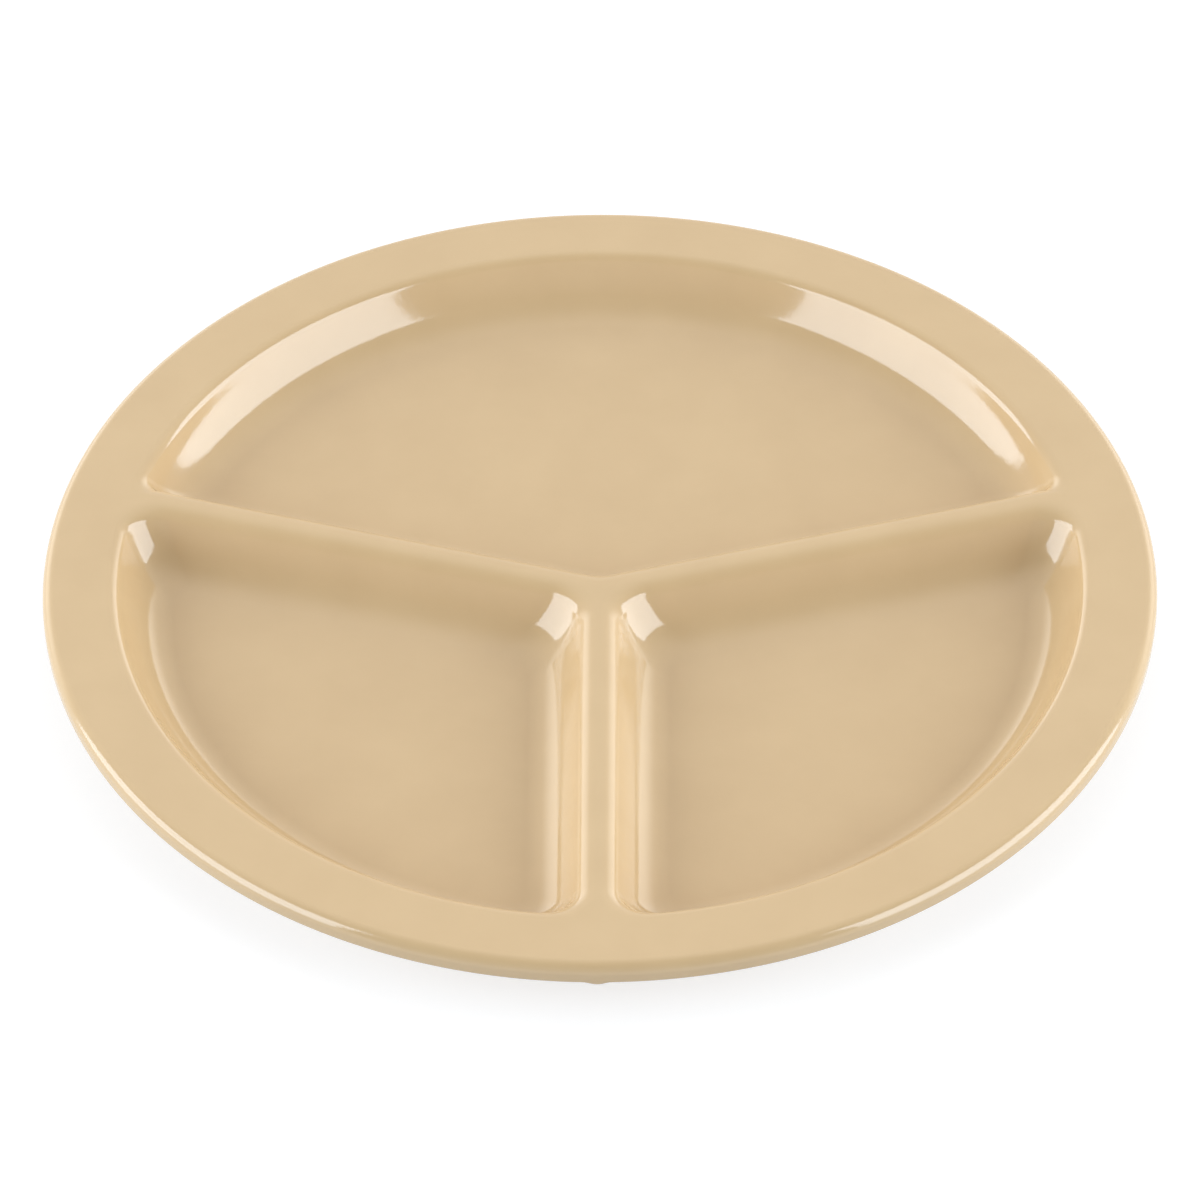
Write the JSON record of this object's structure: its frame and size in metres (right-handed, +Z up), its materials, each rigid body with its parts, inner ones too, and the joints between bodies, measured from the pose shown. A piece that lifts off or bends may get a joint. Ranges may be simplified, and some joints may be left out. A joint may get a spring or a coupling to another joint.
{
  "type": "divided plate",
  "caption": "Round divided plate with a flat rim, sunk wells parted by dividers level with the rim, and a turned-down edge. Glossy tan plastic, for serving food apart.",
  "frame": {"origin": "centre of the plate on the plane it stands on", "axes": "+Z up, -Y toward the front, where the two smaller wells lie side by side; +X to the right seen from the front"},
  "size_m": [0.26, 0.26, 0.0174],
  "materials": {
    "tan_plastic": "smooth gloss, tan melamine"
  },
  "bodies": {
    "root": {"plate": "tan_plastic"}
  },
  "joints": []
}
